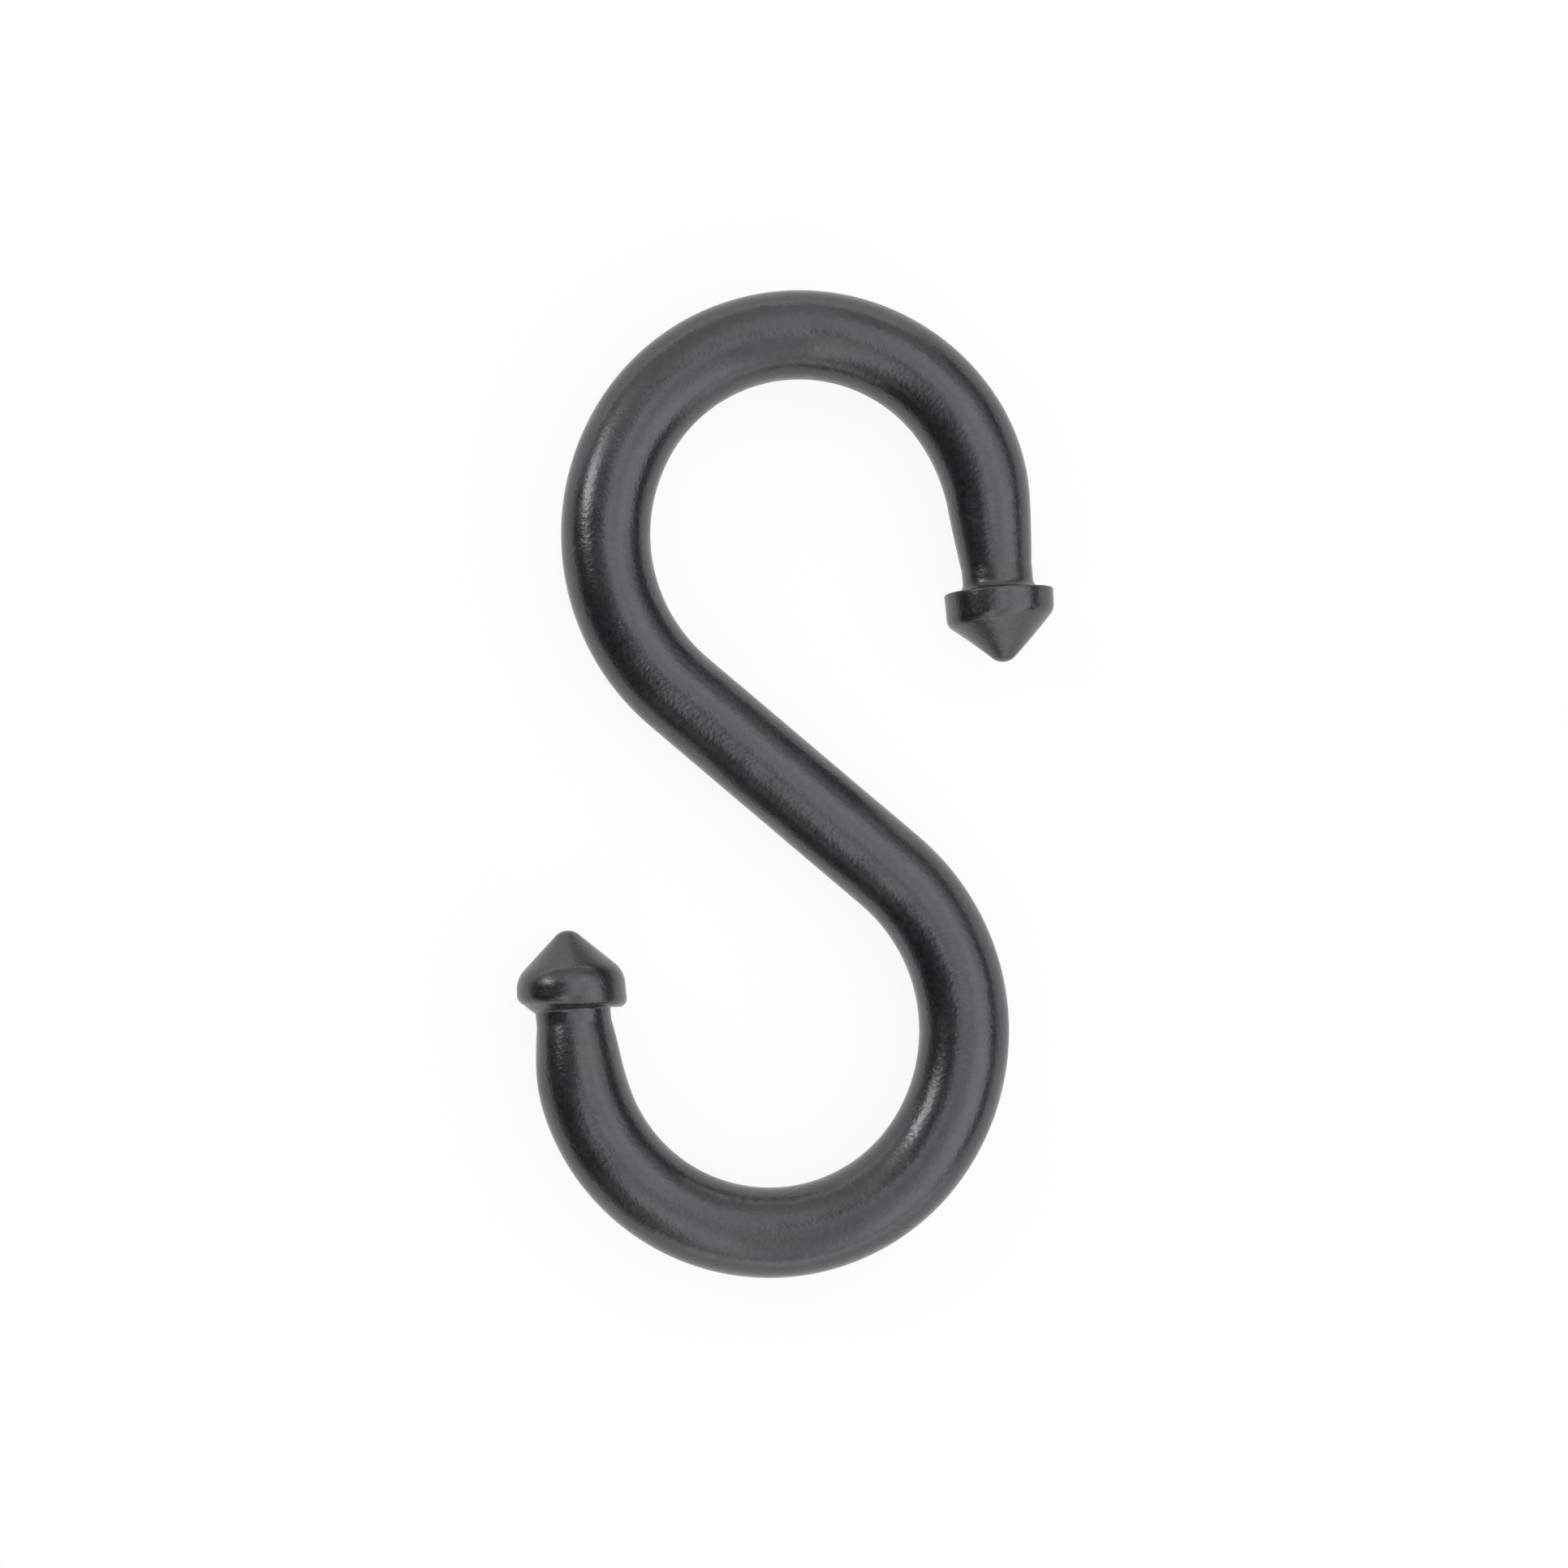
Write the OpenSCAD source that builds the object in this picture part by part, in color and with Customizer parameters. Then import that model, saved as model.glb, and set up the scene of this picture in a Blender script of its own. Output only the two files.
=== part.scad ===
// S hook for plastic chain, moulded in one piece. A round rod makes two open bowls
// that face opposite ways, joined by a straight slanting shank. Each arm narrows to
// a waist and ends in a barbed head that snaps through a link and won't fall out.
// The hook lies flat: X is its width, Y its length and Z its thickness.

/* [Rod] */
// Diameter of the round rod
rod_d = 6.35; // [5.75:0.05:8]
// Length of the straight shank between the two bowls
shank_len = 19.6; // [12:0.1:40]
// Angle between the shank and the hook's width
shank_angle = 40; // [25:1:60]

/* [Bowls] */
// Centre-line radius where the shank turns into a bowl
shoulder_r = 14.8; // [11:0.1:25]
// Angle that each shoulder turns through
shoulder_angle = 82.5; // [60:0.5:100]
// Centre-line radius round the crown of a bowl and into its arm
crown_r = 13.55; // [11:0.05:25]
// Angle that each crown turns through, up to the straight end of its arm
crown_angle = 140.5; // [120:0.5:155]

/* [Upper arm] */
// Length of the upper arm's straight end, up to the back of its head
upper_arm_len = 6.35; // [3:0.05:12]
// Length over which the upper arm narrows, up to its waist
upper_taper_len = 11; // [3:0.1:14]
// Length of the parallel waist behind the upper head
upper_waist_len = 1; // [0.4:0.1:2]
// Diameter of the upper waist
upper_waist_d = 5; // [4:0.05:5.4]

/* [Lower arm] */
// Length of the lower arm's straight end, up to the back of its head
lower_arm_len = 3.7; // [3:0.05:12]
// Length over which the lower arm narrows, up to its waist
lower_taper_len = 6; // [3:0.1:14]
// Length of the parallel waist behind the lower head
lower_waist_len = 0.7; // [0.4:0.1:2]
// Diameter of the lower waist
lower_waist_d = 5.3; // [4:0.05:5.4]

/* [Heads] */
// Diameter of each head across its barb
head_d = 7.75; // [7.4:0.05:10]
// Draft of the barb's side, which narrows towards the nose
barb_draft = 1.5; // [0:0.25:5]
// Angle between a head's axis and the side of its pointed nose
nose_angle = 47; // [35:1:60]
// Radius of the blunt tip of the nose
tip_r = 1.2; // [0.4:0.1:1.5]
// Radius of the edge between the barb and the nose
nose_edge_r = 0.9; // [0.2:0.1:1.2]

/* [Upper head] */
// Length of the upper barb's side
upper_barb_len = 1.9; // [1.4:0.05:3]
// Slope of the upper barb's back face
upper_back_angle = 3; // [0:1:30]
// Radius of the upper barb's back edge
upper_edge_r = 0.15; // [0.1:0.05:0.5]
// Radius of the fillet between the upper waist and the back of its head
upper_fillet_r = 0.65; // [0.1:0.05:0.8]
// Angle that the upper waist turns its head further inwards
upper_head_tilt = 2.5; // [0:0.5:6]
// Tilt of the upper barb's nose edge, which is further forward on the inside
upper_nose_edge_tilt = 4.5; // [0:0.5:6]

/* [Lower head] */
// Length of the lower barb's side
lower_barb_len = 2.05; // [1.6:0.05:3]
// Slope of the lower barb's back face
lower_back_angle = 21; // [10:1:30]
// Radius of the lower barb's back edge
lower_edge_r = 0.7; // [0.1:0.05:0.8]
// Radius of the fillet between the lower waist and the back of its head
lower_fillet_r = 0.25; // [0.1:0.05:0.6]
// Angle that the lower waist turns its head further inwards
lower_head_tilt = 2; // [0:0.5:6]
// Tilt of the lower barb's back edge, which is further back on the inside
lower_back_edge_tilt = 5.5; // [0:0.5:6]

/* [Hidden] */

// Sides of the rod's round section
sides = 36;
// Angle between the sections round a bend
bend_step_angle = 6;
// Sections along the straight end of an arm, and along its waist
arm_steps = 5;
waist_steps = 2;
// Steps round each rounded edge of a head
edge_steps = 4;

// ---- Centre line: each half starts in the middle of the shank and turns to the right.
// ---- A stretch is [length, angle that it turns through, number of sections],
// ---- and a section is [place, heading, distance along the centre line].

// Stretch of the rod bent to a radius
function bent(r, turn) = [r * turn * PI / 180, turn, ceil(turn / bend_step_angle)];

// Unit vector along a heading, which is an angle to the right of +Y
function ahead(heading) = [sin(heading), cos(heading)];

// Section a distance s further on, after turning evenly through an angle
function advance(section, s, turn) =
    let (chord = turn == 0 ? s : s * sin(turn / 2) / (turn / 2 * PI / 180))
    [
        section[0] + chord * ahead(section[1] + turn / 2),
        section[1] + turn,
        section[2] + s
    ];

// Sections of the n-th stretch and all that follow it
function walk(stretches, from = [[0, 0], 0, 0], n = 0) =
    n == len(stretches) ? [] :
    let (
        length = stretches[n][0],
        turn = stretches[n][1],
        steps = stretches[n][2],
        passed = [
            for (i = [1 : steps])
                advance(from, length * i / steps, turn * i / steps)
        ]
    )
    concat(passed, walk(stretches, passed[steps - 1], n + 1));

// ---- Outline of a head, from the foot of its fillet on the waist to the tip of its nose

// Points of the arc of radius r that rounds the corner b of the line a, b, c
function rounded(a, b, c, r, steps = edge_steps) =
    let (
        to_a = (a - b) / norm(a - b),
        to_c = (c - b) / norm(c - b),
        half = acos(to_a * to_c) / 2,
        centre = b + r / sin(half) * (to_a + to_c) / norm(to_a + to_c),
        start = b + r / tan(half) * to_a - centre,
        side = sign(start[0] * to_c[1] - start[1] * to_c[0])
    )
    [
        for (i = [0 : steps])
            let (t = side * (180 - 2 * half) * i / steps)
            centre + [
                start[0] * cos(t) - start[1] * sin(t),
                start[0] * sin(t) + start[1] * cos(t)
            ]
    ];

// Points of an outline as rings of a head, [radius, distance along its axis, lean]
function leaning(points, lean) = [for (p = points) [p[0], p[1], lean]];

function head_outline(
    waist_d, barb_len, back_angle, edge_r, fillet_r, back_lean, nose_lean
) =
    let (
        foot = [waist_d / 2, 0],
        back_edge = [head_d / 2, (head_d - waist_d) / 2 * tan(back_angle)],
        nose_edge = back_edge + [-barb_len * tan(barb_draft), barb_len],
        tip = [0, nose_edge[1] + nose_edge[0] / tan(nose_angle)],
        far_nose_edge = [-nose_edge[0], nose_edge[1]],
        nose_arc = rounded(nose_edge, tip, far_nose_edge, tip_r, 2 * edge_steps)
    )
    concat(
        leaning(rounded(foot - [0, fillet_r], foot, back_edge, fillet_r), 0),
        leaning(rounded(foot, back_edge, nose_edge, edge_r), -back_lean),
        leaning(rounded(back_edge, nose_edge, tip, nose_edge_r), nose_lean),
        leaning([for (i = [0 : edge_steps]) nose_arc[i]], 0)
    );

// ---- Halves: each is a list of rings, [place, heading, radius, lean], out to its tip.
// ---- A ring that leans has the inside of its bend further forward by that angle.

// Radius of an arm a distance s past the place where it starts to narrow
function arm_radius(s, taper_len, waist_d) =
    rod_d / 2 - (rod_d - waist_d) / 2 * pow(max(0, min(1, s / taper_len)), 2);

function half(arm_len, taper_len, waist_len, waist_d, fillet_r, tilt, outline) =
    let (
        sections = walk([
            [shank_len / 2, 0, 1],
            bent(shoulder_r, shoulder_angle),
            bent(crown_r, crown_angle),
            [arm_len - waist_len - fillet_r, 0, arm_steps],
            [waist_len, tilt, waist_steps]
        ]),
        last = sections[len(sections) - 1],
        foot = advance(last, fillet_r, 0),
        narrow_from = last[2] - waist_len - taper_len
    )
    concat(
        [
            for (s = sections)
                [s[0], s[1], arm_radius(s[2] - narrow_from, taper_len, waist_d), 0]
        ],
        [
            for (i = [1 : len(outline) - 1])
                let (p = outline[i])
                [advance(foot, p[1], 0)[0], foot[1], p[0], p[2]]
        ]
    );

upper_half = half(
    upper_arm_len, upper_taper_len, upper_waist_len, upper_waist_d,
    upper_fillet_r, upper_head_tilt,
    head_outline(
        upper_waist_d, upper_barb_len, upper_back_angle, upper_edge_r,
        upper_fillet_r, 0, upper_nose_edge_tilt
    )
);

lower_half = half(
    lower_arm_len, lower_taper_len, lower_waist_len, lower_waist_d,
    lower_fillet_r, lower_head_tilt,
    head_outline(
        lower_waist_d, lower_barb_len, lower_back_angle, lower_edge_r,
        lower_fillet_r, lower_back_edge_tilt, 0
    )
);

// ---- Skin of the hook: rings run from the lower tip, through the middle of the
// ---- shank, to the upper tip, and the two tips are single points

// Points round one ring, which stands square across its heading unless it leans
function ring_points(ring) =
    [
        for (i = [0 : sides - 1])
            let (
                across = ring[2] * cos(360 * i / sides),
                up = ring[2] * sin(360 * i / sides),
                at = ring[0] + across * tan(ring[3]) * ahead(ring[1])
            )
            [at[0] + across * cos(ring[1]), at[1] - across * sin(ring[1]), up]
    ];

module skin(rings) {
    last = len(rings) - 1;
    points = concat(
        [[rings[0][0][0], rings[0][0][1], 0]],
        [for (k = [1 : last - 1]) each ring_points(rings[k])],
        [[rings[last][0][0], rings[last][0][1], 0]]
    );
    tip = len(points) - 1;
    faces = [
        for (i = [0 : sides - 1])
            let (j = (i + 1) % sides)
            each concat(
                [[0, 1 + j, 1 + i]],
                [
                    for (k = [1 : sides : tip - 2 * sides])
                        [k + i, k + j, k + j + sides, k + i + sides]
                ],
                [[tip, tip - sides + i, tip - sides + j]]
            )
    ];
    polyhedron(points, faces, convexity = 6);
}

// Both heads stand out further than the rod, so the hook rests on the thicker of them
module hook() {
    turned_lower_half = [
        for (k = [len(lower_half) - 1 : -1 : 0])
            let (ring = lower_half[k])
            [-ring[0], ring[1], ring[2], ring[3]]
    ];
    rings = concat(turned_lower_half, upper_half);
    color("#2b2a2d")
        translate([0, 0, max([for (r = rings) r[2]])])
            rotate([0, 0, 90 - shank_angle])
                skin(rings);
}

hook();
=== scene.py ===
"""S hook: the looks of one moulded plastic hook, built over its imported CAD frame."""

import math

import bpy
import numpy as np
from mathutils import Matrix, Quaternion, Vector


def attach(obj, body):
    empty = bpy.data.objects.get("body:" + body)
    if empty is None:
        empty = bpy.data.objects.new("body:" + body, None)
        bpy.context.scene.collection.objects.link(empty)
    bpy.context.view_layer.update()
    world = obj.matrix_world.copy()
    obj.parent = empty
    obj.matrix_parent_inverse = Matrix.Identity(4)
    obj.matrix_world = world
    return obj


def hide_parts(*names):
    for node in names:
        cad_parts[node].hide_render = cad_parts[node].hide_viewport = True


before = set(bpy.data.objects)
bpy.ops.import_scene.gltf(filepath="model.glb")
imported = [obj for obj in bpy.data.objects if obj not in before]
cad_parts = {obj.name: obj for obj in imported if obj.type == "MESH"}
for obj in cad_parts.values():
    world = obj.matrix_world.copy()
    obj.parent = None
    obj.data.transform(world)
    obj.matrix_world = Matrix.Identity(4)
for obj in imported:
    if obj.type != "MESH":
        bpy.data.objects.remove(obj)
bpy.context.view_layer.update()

# ---- Hook -------------------------------------------------------------------------
# One piece of satin black plastic, moulded lying flat in a two-part mould. The round
# rod bends into two bowls, and each arm narrows to a waist behind a barbed head.

# Lengths are in millimetres and angles in degrees.
rod_d = 6.35
shank_len, shank_angle = 19.6, 40
shoulder_r, shoulder_angle = 14.8, 82.5
crown_r, crown_angle = 13.55, 140.5
head_d, barb_draft, nose_angle, tip_r = 7.75, 1.5, 47, 1.2
upper = dict(
    arm_len=6.35, taper_len=11, waist_len=1.0, waist_d=5.0, head_tilt=2.5,
    barb_len=1.9, back_angle=3, edge_r=0.15, fillet_r=0.65, back_lean=0,
    nose_edge_r=0.9, nose_lean=4.5,
)
lower = dict(
    arm_len=3.7, taper_len=6, waist_len=0.7, waist_d=5.3, head_tilt=2,
    barb_len=2.05, back_angle=21, edge_r=0.7, fillet_r=0.25, back_lean=5.5,
    nose_edge_r=2.0, nose_lean=0,
)
ring_points, head_step = 96, 0.22  # points round a ring, and the spacing along a head


def ahead(heading):
    """Unit vectors along headings, which are angles to the right of +Y, in radians."""
    return np.stack([np.sin(heading), np.cos(heading)], -1)


def centre_line(stretches):
    """Places, headings and distances along a line of stretches (length, turn, steps).

    A stretch turns evenly, so a point a distance s along it is a chord away from its
    start, 2 sin(t/2) / t times s long, in the direction halfway between the headings,
    where t is the angle turned so far.
    """
    place, heading, distance = np.zeros(2), 0.0, 0.0
    parts = []
    for length, turn, steps in stretches:
        share = np.arange(1, steps + 1) / steps
        t = math.radians(turn) * share
        chord = length * share * np.sinc(t / 2 / np.pi)
        places = place + chord[:, None] * ahead(heading + t / 2)
        parts.append(np.column_stack([places, heading + t, distance + length * share]))
        place, heading, distance = places[-1], heading + t[-1], distance + length
    return np.vstack(parts)


def rounded(a, b, c, r, steps):
    """Points of the arc of radius r that rounds the corner b of the line a, b, c.

    Its centre is r / sin(half the corner's angle) from b, along the corner's middle. It
    starts r / tan(half the angle) from b, on the side towards a.
    """
    to_a, to_c = (a - b) / np.linalg.norm(a - b), (c - b) / np.linalg.norm(c - b)
    half = math.acos(to_a @ to_c) / 2
    middle = (to_a + to_c) / np.linalg.norm(to_a + to_c)
    centre = b + r / math.sin(half) * middle
    start = b + r / math.tan(half) * to_a - centre
    side = np.sign(start[0] * to_c[1] - start[1] * to_c[0])
    t = side * (np.pi - 2 * half) * np.linspace(0, 1, steps + 1)
    across = np.array([-start[1], start[0]])
    return centre + np.cos(t)[:, None] * start + np.sin(t)[:, None] * across


def head_outline(e):
    """A head's outline as rows (radius, distance along its axis, lean in radians).

    It runs up the fillet, out along the back face, round the barb's back edge, along
    its side, round its nose edge and down the cone to the blunt tip. Arcs join the
    straight lines, and each line is cut into even steps.
    """
    foot = np.array([e["waist_d"] / 2, 0])
    back_rise = (head_d - e["waist_d"]) / 2 * math.tan(math.radians(e["back_angle"]))
    back_edge = np.array([head_d / 2, back_rise])
    draft = e["barb_len"] * math.tan(math.radians(barb_draft))
    nose_edge = back_edge + [-draft, e["barb_len"]]
    cone_len = nose_edge[0] / math.tan(math.radians(nose_angle))
    tip = np.array([0, nose_edge[1] + cone_len])
    blunt = rounded(nose_edge, tip, nose_edge * [-1, 1], tip_r, 36)
    arcs = [
        (rounded(foot - [0, e["fillet_r"]], foot, back_edge, e["fillet_r"], 10), 0),
        (rounded(foot, back_edge, nose_edge, e["edge_r"], 10), -e["back_lean"]),
        (rounded(back_edge, nose_edge, tip, e["nose_edge_r"], 12), e["nose_lean"]),
        (blunt[: len(blunt) // 2 + 1], 0),
    ]
    rows = np.vstack(
        [np.column_stack([points, np.full(len(points), lean)]) for points, lean in arcs]
    )
    gap = np.linalg.norm(np.diff(rows[:, :2], axis=0), axis=1)
    steps = np.maximum(1, np.round(gap / head_step)).astype(int)
    at = np.concatenate(
        [k + np.arange(n) / n for k, n in enumerate(steps)] + [[len(rows) - 1]]
    )
    return np.column_stack(
        [np.interp(at, np.arange(len(rows)), rows[:, c]) for c in range(3)]
    ) * [1, 1, math.pi / 180]


def half_hook(e):
    """Rings of one half, as rows (x, y, heading, radius, lean), from the middle out.

    The rod's radius falls with the square of the distance from where it starts to
    narrow, down to the waist. The waist turns by the head's tilt.
    """
    line = centre_line([
        (shank_len / 2, 0, 14),
        (math.radians(shoulder_angle) * shoulder_r, shoulder_angle, 60),
        (math.radians(crown_angle) * crown_r, crown_angle, 96),
        (e["arm_len"] - e["waist_len"] - e["fillet_r"], 0, 20),
        (e["waist_len"], e["head_tilt"], 6),
    ])
    last = line[-1]
    narrow_from = last[3] - e["waist_len"] - e["taper_len"]
    narrowing = np.clip((line[:, 3] - narrow_from) / e["taper_len"], 0, 1) ** 2
    radius = rod_d / 2 - (rod_d - e["waist_d"]) / 2 * narrowing
    rod = np.column_stack([line[:, :3], radius, np.zeros(len(line))])
    outline = head_outline(e)[1:]
    along = ahead(last[2])
    places = last[:2] + (e["fillet_r"] + outline[:, 1:2]) * along
    head = np.column_stack(
        [places, np.full(len(outline), last[2]), outline[:, 0], outline[:, 2]]
    )
    return np.vstack([rod, head])


def skin(name, rings, sides):
    """A mesh of a closed skin over rings, and its points, both in millimetres.

    A point of a ring is its place, plus radius times (cos a across, sin a up), plus
    its across distance times the tangent of the lean along the heading. A fan of
    triangles closes each end on the first and last ring, which have no radius.
    """
    x, y, heading, radius, lean = rings[1:-1].T[..., None]
    a = 2 * np.pi * np.arange(sides) / sides
    across, up = radius * np.cos(a), radius * np.sin(a)
    shift = across * np.tan(lean)
    grid = np.stack(
        [
            x + across * np.cos(heading) + shift * np.sin(heading),
            y - across * np.sin(heading) + shift * np.cos(heading),
            up,
        ],
        -1,
    )
    count = grid.shape[0] * sides
    tips = np.array([[*rings[0, :2], 0], [*rings[-1, :2], 0]])
    points = np.vstack([grid.reshape(-1, 3), tips])
    index = np.arange(count).reshape(-1, sides)
    around = np.roll(index, -1, axis=1)
    quads = np.stack([index[:-1], around[:-1], around[1:], index[1:]], -1)
    first = np.stack([np.full(sides, count), around[0], index[0]], -1)
    final = np.stack([np.full(sides, count + 1), index[-1], around[-1]], -1)
    faces = quads.reshape(-1, 4).tolist() + first.tolist() + final.tolist()
    mesh = bpy.data.meshes.new(name)
    mesh.from_pydata(points.tolist(), [], faces)
    return mesh, points


upper_rings = half_hook(upper)
lower_rings = half_hook(lower)[::-1] * [-1, -1, 1, 1, 1]
rings = np.vstack([lower_rings, upper_rings])
hook_mesh, points = skin("hook_skin", rings, ring_points)

# The shank turns to its slant, the thicker head rests on the table, and the millimetres
# become metres.
turn = math.radians(90 - shank_angle)
turned = np.array(
    [
        [math.cos(turn), -math.sin(turn), 0],
        [math.sin(turn), math.cos(turn), 0],
        [0, 0, 1],
    ]
)
middle_height = rings[:, 3].max()
points = (points @ turned.T + [0, 0, middle_height]) / 1000
hook_mesh.vertices.foreach_set("co", points.ravel())
hook_mesh.polygons.foreach_set("use_smooth", np.ones(len(hook_mesh.polygons), bool))
hook_mesh.update()
hook = bpy.data.objects.new("hook_skin", hook_mesh)
bpy.context.scene.collection.objects.link(hook)

# Satin black plastic. The mould's fine grain and the shrinkage of a thick section
# bend its reflections a little, and its gloss varies where it has been handled.
plastic = bpy.data.materials.new("satin_black_plastic")
plastic.use_nodes = True
nodes, links = plastic.node_tree.nodes, plastic.node_tree.links
shader = nodes["Principled BSDF"]
shader.inputs["IOR"].default_value = 1.5
shader.inputs["Specular IOR Level"].default_value = 0.85
place_in = nodes.new("ShaderNodeTexCoord").outputs["Object"]


def noise(scale, detail, roughness=0.5):
    """A noise texture over the object, with scale cells in a metre, from 0 to 1."""
    texture = nodes.new("ShaderNodeTexNoise")
    texture.inputs["Scale"].default_value = scale
    texture.inputs["Detail"].default_value = detail
    texture.inputs["Roughness"].default_value = roughness
    links.new(place_in, texture.inputs["Vector"])
    return texture.outputs["Fac"]


def spread(value, low, high, source_low=0.3, source_high=0.7):
    """A value mapped evenly from its own range to the range from low to high."""
    mapped = nodes.new("ShaderNodeMapRange")
    for name, number in (
        ("From Min", source_low), ("From Max", source_high),
        ("To Min", low), ("To Max", high),
    ):
        mapped.inputs[name].default_value = number
    links.new(value, mapped.inputs["Value"])
    return mapped.outputs["Result"]


def bump(height, depth, under=None):
    """A bump of a height from 0 to 1 times a depth in metres, over another bump."""
    raised = nodes.new("ShaderNodeBump")
    raised.inputs["Distance"].default_value = depth
    links.new(height, raised.inputs["Height"])
    if under:
        links.new(under, raised.inputs["Normal"])
    return raised.outputs["Normal"]


# Tone: charcoal, finely mottled
tone = nodes.new("ShaderNodeMix")
tone.data_type = "RGBA"
tone.inputs["A"].default_value = (0.0055, 0.0058, 0.0076, 1)
tone.inputs["B"].default_value = (0.0190, 0.0188, 0.0215, 1)
mottle = noise(scale=2400, detail=4, roughness=0.6)
links.new(spread(mottle, 0, 1), tone.inputs["Factor"])
links.new(tone.outputs["Result"], shader.inputs["Base Color"])

# Gloss: satin, with broad soft patches and fine specks
handled = noise(scale=260, detail=5, roughness=0.65)
links.new(spread(handled, 0.23, 0.32), shader.inputs["Roughness"])

# Relief: slow waves from shrinkage, the mould's grain, and the flash where the two
# halves of the mould met, which runs round the hook at half its height
waves = bump(noise(scale=260, detail=1), depth=0.00012)
grain = bump(noise(scale=3400, detail=3), depth=0.000024, under=waves)
axes = nodes.new("ShaderNodeSeparateXYZ")
links.new(place_in, axes.inputs["Vector"])
from_middle = nodes.new("ShaderNodeMath")
from_middle.operation = "SUBTRACT"
from_middle.inputs[1].default_value = middle_height / 1000
links.new(axes.outputs["Z"], from_middle.inputs[0])
away = nodes.new("ShaderNodeMath")
away.operation = "ABSOLUTE"
links.new(from_middle.outputs[0], away.inputs[0])
ridge = spread(away.outputs[0], 1, 0, source_low=0.00003, source_high=0.0001)
flash = bump(ridge, depth=0.00003, under=grain)
links.new(flash, shader.inputs["Normal"])
hook_mesh.materials.append(plastic)

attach(hook, "root")
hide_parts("hook")

# ---- Floor ------------------------------------------------------------------------
# A plain white table, wide enough for every view. It takes the hook's soft shadow, and
# the hook's reflections show it as white as it looks.

reach, white_share = 4, 0.9
floor_mesh = bpy.data.meshes.new("floor")
floor_mesh.from_pydata(
    [(-reach, -reach, 0), (reach, -reach, 0), (reach, reach, 0), (-reach, reach, 0)],
    [],
    [(0, 1, 2, 3)],
)
floor = bpy.data.objects.new("floor", floor_mesh)
bpy.context.scene.collection.objects.link(floor)
table = bpy.data.materials.new("white_table")
table.use_nodes = True
nodes, links = table.node_tree.nodes, table.node_tree.links
paint = nodes["Principled BSDF"]
paint.inputs["Base Color"].default_value = (0.9, 0.9, 0.9, 1)
paint.inputs["Roughness"].default_value = 1
paint.inputs["Specular IOR Level"].default_value = 0

# The camera, reflections and glass see nine parts of plain white to one of its shade.
seen = nodes.new("ShaderNodeLightPath")
rays = seen.outputs["Is Camera Ray"]
for ray in ("Is Glossy Ray", "Is Transmission Ray"):
    added = nodes.new("ShaderNodeMath")
    added.operation = "ADD"
    links.new(rays, added.inputs[0])
    links.new(seen.outputs[ray], added.inputs[1])
    rays = added.outputs[0]
share = nodes.new("ShaderNodeMath")
share.operation = "MULTIPLY"
share.inputs[1].default_value = white_share
links.new(rays, share.inputs[0])
white = nodes.new("ShaderNodeEmission")
white.inputs["Strength"].default_value = 1
surface = nodes.new("ShaderNodeMixShader")
for socket, node in zip(surface.inputs, (share, paint, white)):
    links.new(node.outputs[0], socket)
links.new(surface.outputs[0], nodes["Material Output"].inputs["Surface"])
floor_mesh.materials.append(table)

# ---- Light ------------------------------------------------------------------------
# Soft boxes in a dark room. Flat ones hang close over the table and leave a dark
# wedge on the left, two walls close the far and near ends, and a small lamp looks in.

box_height = 0.3


def soft_box(name, at, size, radiance, turn=(0, 0, 0)):
    """A slightly cool rectangular lamp, which faces down before it is turned.

    Its size is in metres and its turn in degrees, and a radiance of 1 looks white. Its
    power is its radiance times pi times its area.
    """
    lamp = bpy.data.lights.new(name, "AREA")
    lamp.shape = "RECTANGLE"
    lamp.size, lamp.size_y = size
    lamp.color = (1, 0.985, 1.05)
    lamp.energy = radiance * math.pi * size[0] * size[1]
    box = bpy.data.objects.new(name, lamp)
    box.location = at
    box.rotation_euler = [math.radians(angle) for angle in turn]
    box.visible_camera = False
    bpy.context.scene.collection.objects.link(box)


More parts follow.
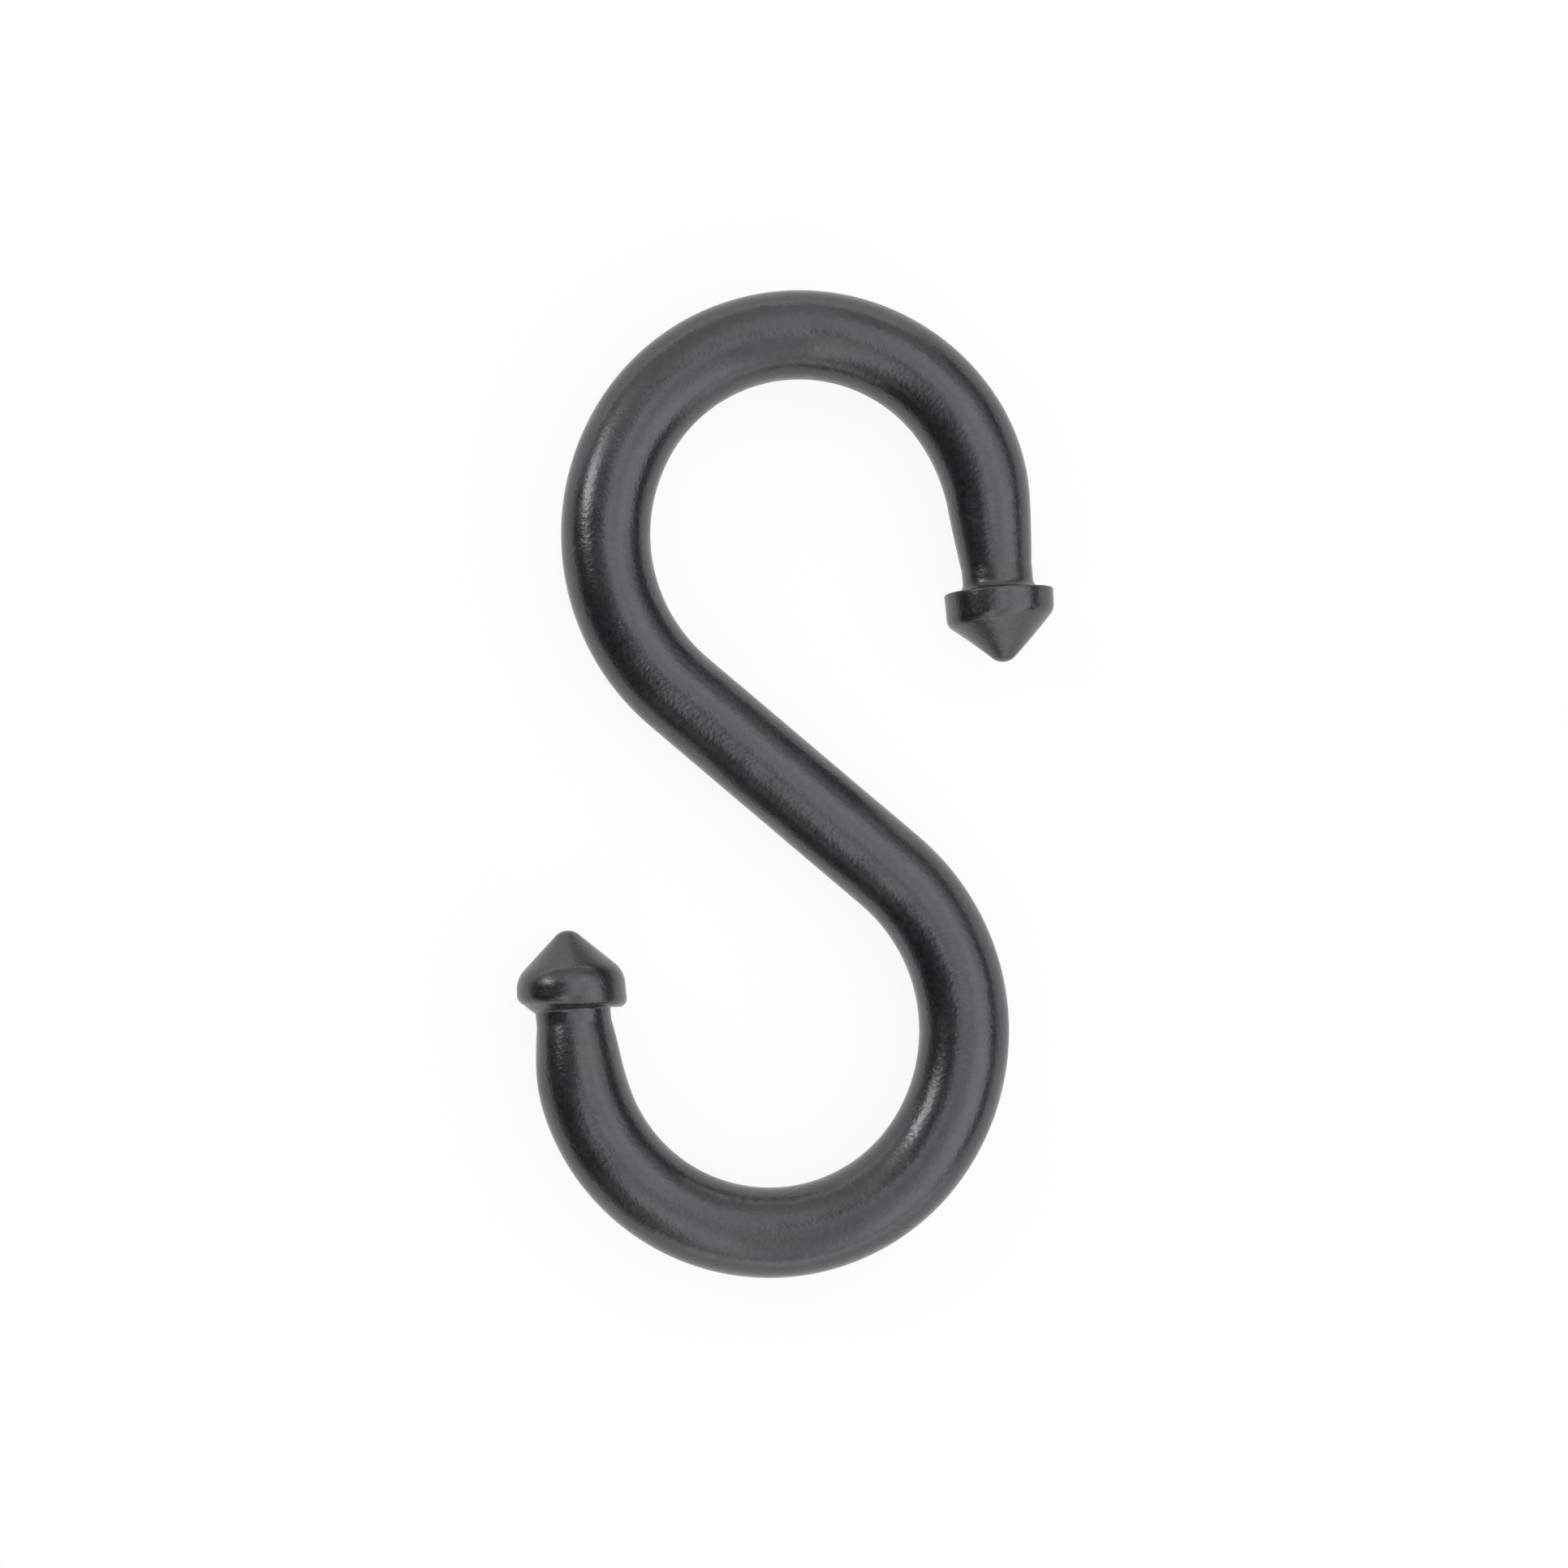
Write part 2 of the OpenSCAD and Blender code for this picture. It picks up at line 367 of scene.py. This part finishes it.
# Name, left, right, near and far edge in metres, and radiance
for name, left, right, near, far, radiance in (
    ("overhead_near", -0.03, 0.09, -0.90, -0.01, 0.95),
    ("overhead", -0.02, 0.09, -0.01, 0.075, 1.95),
    ("overhead_mid", -0.09, 0.09, 0.075, 0.30, 1.5),
    ("overhead_far", -0.09, 0.09, 0.30, 0.90, 1.1),
    ("right", 0.09, 0.18, -0.90, 0.09, 1.3),
    ("right_mid", 0.09, 0.30, 0.09, 0.30, 2.0),
    ("right_far", 0.09, 0.90, 0.30, 0.90, 0.7),
    ("side", 0.18, 0.90, -0.90, 0.09, 1.95),
    ("side_mid", 0.30, 0.90, 0.09, 0.30, 1.35),
    ("left_far", -0.90, -0.09, 0.18, 0.90, 0.85),
    ("left_mid", -0.30, -0.09, 0.09, 0.18, 0.95),
    ("left_near", -0.09, -0.03, -0.90, -0.005, 2.25),
    ("left_near_side", -0.17, -0.09, -0.90, -0.10, 1.8),
    ("left_near_end", -0.48, -0.18, -0.90, -0.30, 0.5),
):
    at = ((left + right) / 2, (near + far) / 2, box_height)
    soft_box(name, at, (right - left, far - near), radiance)
soft_box("far_wall", (-0.72, 0.78, 0.093), (2.4, 0.174), 1.9, (-90, 0, 0))
soft_box("near_wall", (0.36, -0.78, 0.093), (1.68, 0.174), 2.05, (90, 0, 0))
soft_box("lamp", (-0.274, 0.116, 0.201), (0.120, 0.085), 7.6, (0, 56, 157))

world = bpy.data.worlds.new("dark_room")
world.use_nodes = True
world.node_tree.nodes["Background"].inputs["Strength"].default_value = 0
bpy.context.scene.world = world
bpy.context.scene.view_settings.view_transform = "Standard"

# ---- Camera -----------------------------------------------------------------------
# It looks almost straight down, from 0.35 m above the middle of the hook, and leans a
# little towards the near end.

distance, sensor = 0.35, 36
frame_pixels, pixel_size = 1932, 0.05747e-3  # across, and metres that one covers
lean, sideways, roll = math.radians(3.68), math.radians(0.37), math.radians(0.34)
backward = Vector((math.sin(sideways), -math.sin(lean), math.cos(lean))).normalized()
right = Vector((0, 1, 0)).cross(backward).normalized()
camera_data = bpy.data.cameras.new("camera")
camera_data.sensor_width = sensor
camera_data.lens = sensor * distance / (frame_pixels * pixel_size)
camera_data.shift_x, camera_data.shift_y = -0.00018, -0.0018
camera_data.clip_start, camera_data.clip_end = 0.01, 100
camera = bpy.data.objects.new("camera", camera_data)
camera.location = Vector((0, 0, middle_height / 1000)) + distance * backward
camera.rotation_mode = "QUATERNION"
straight = Matrix((right, backward.cross(right), backward)).transposed().to_quaternion()
camera.rotation_quaternion = straight @ Quaternion((0, 0, 1), roll)
bpy.context.scene.collection.objects.link(camera)
bpy.context.scene.camera = camera
